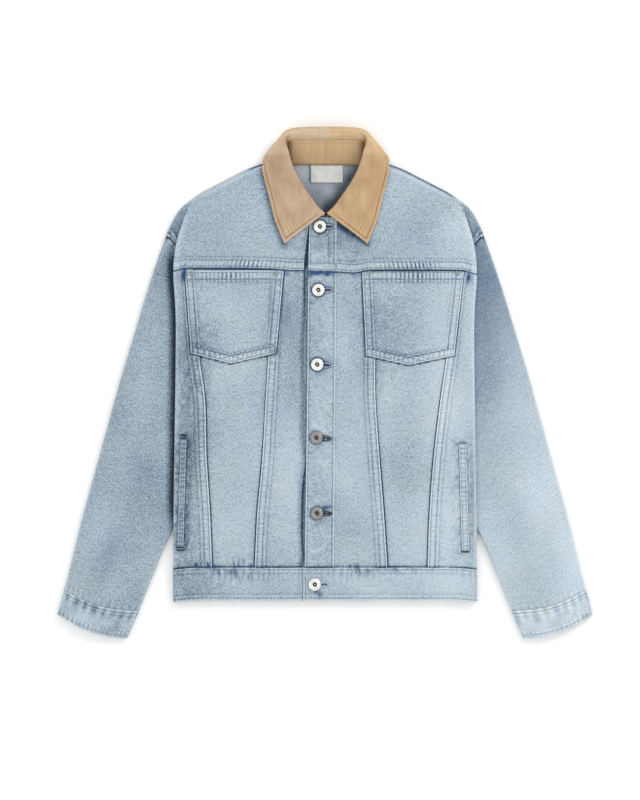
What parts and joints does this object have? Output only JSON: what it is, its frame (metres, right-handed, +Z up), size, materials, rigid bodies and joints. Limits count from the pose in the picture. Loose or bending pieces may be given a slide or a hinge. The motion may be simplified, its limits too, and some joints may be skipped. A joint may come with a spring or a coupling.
{
  "type": "denim jacket",
  "caption": "Light washed denim jacket with a tan corduroy collar, chest pockets, side welts and metal shank buttons, done up and laid flat on its back.",
  "frame": {"origin": "On the floor under the middle of the jacket as it lies flat on its back", "axes": "+X to the wearer's left, +Y towards the collar, +Z up through the front"},
  "size_m": [0.8312, 0.7898, 0.038],
  "materials": {
    "denim": "matte",
    "corduroy": "matte",
    "label_tape": "satin",
    "bright_metal": "satin",
    "dark_metal": "satin"
  },
  "bodies": {
    "root": {"back_panel": "denim", "back_yoke": "denim", "sleeve_right": "denim", "cuff_right": "denim", "front_side_right": "denim", "front_centre_right": "denim", "front_middle_right": "denim", "front_yoke_right": "denim", "shoulder_cap_right": "denim", "placket_right": "denim", "chest_pocket_right": "denim", "pocket_welt_right": "denim", "sleeve_left": "denim", "cuff_left": "denim", "front_side_left": "denim", "front_centre_left": "denim", "front_middle_left": "denim", "front_yoke_left": "denim", "shoulder_cap_left": "denim", "placket_left": "denim", "chest_pocket_left": "denim", "pocket_welt_left": "denim", "waistband": "denim", "collar_leaf": "corduroy", "collar_stand": "corduroy", "neck_label": "label_tape", "button_1": "bright_metal", "button_2": "bright_metal", "button_3": "bright_metal", "button_4": "dark_metal", "button_5": "dark_metal", "button_6": "bright_metal", "pocket_rivet_inner_right": "bright_metal", "pocket_rivet_outer_right": "bright_metal", "pocket_rivet_inner_left": "bright_metal", "pocket_rivet_outer_left": "bright_metal"}
  },
  "joints": []
}
